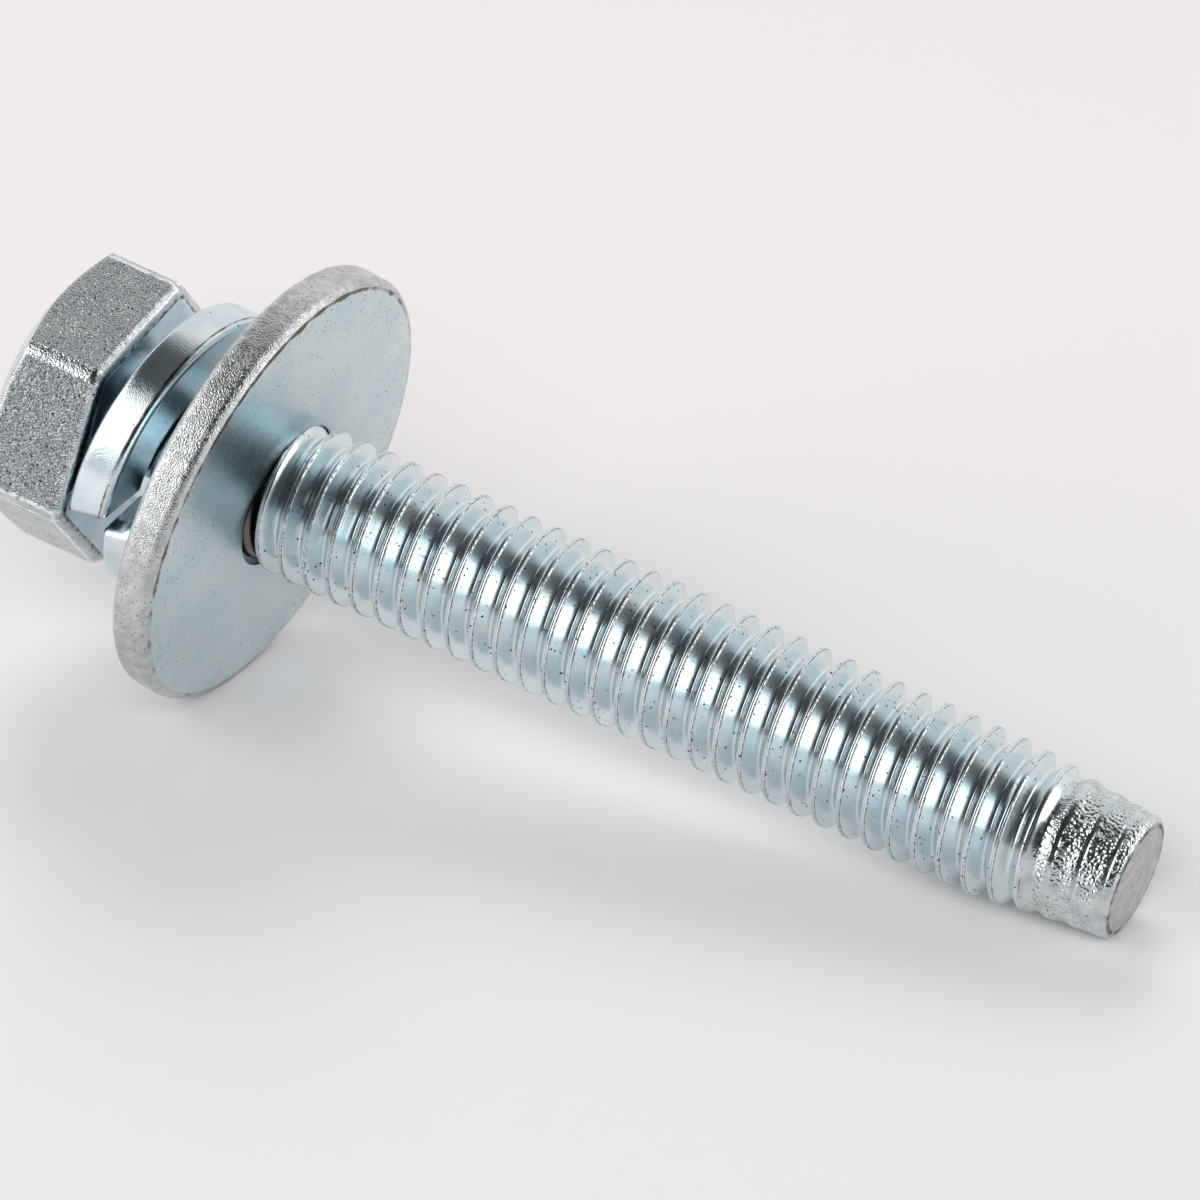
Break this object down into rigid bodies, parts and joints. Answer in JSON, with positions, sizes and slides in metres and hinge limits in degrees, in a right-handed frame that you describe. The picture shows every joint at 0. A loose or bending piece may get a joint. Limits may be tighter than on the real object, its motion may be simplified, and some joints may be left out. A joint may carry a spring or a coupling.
{
  "type": "hex bolt with captive washers",
  "caption": "Zinc-plated hex-head machine bolt, threaded to a plain point, with a split lock washer and a wide flat washer held captive under the head.",
  "frame": {"origin": "centre of the head's flat top, on which the bolt stands", "axes": "+Z along the shank from the head to the point, +X towards the side where the leaning washers are lowest"},
  "size_m": [0.0172, 0.0172, 0.045],
  "materials": {
    "bolt_zinc": "bright zinc plate, blue passivated",
    "lock_washer_zinc": "bright glossy zinc plate",
    "flat_washer_zinc": "satin zinc plate with fine pits"
  },
  "bodies": {
    "bolt": {"hex_bolt": "bolt_zinc"},
    "lock_ring": {"lock_washer": "lock_washer_zinc"},
    "flat_ring": {"flat_washer": "flat_washer_zinc"}
  },
  "joints": [
    {"name": "lock_washer_spin", "type": "hinge", "parent": "bolt", "child": "lock_ring", "pos_m": [0, 0, 0.00604], "axis": [0.0715, 0, 0.9974], "continuous": true},
    {"name": "flat_washer_spin", "type": "hinge", "parent": "bolt", "child": "flat_ring", "pos_m": [0, 0, 0.00922], "axis": [0.0715, 0, 0.9974], "continuous": true}
  ]
}
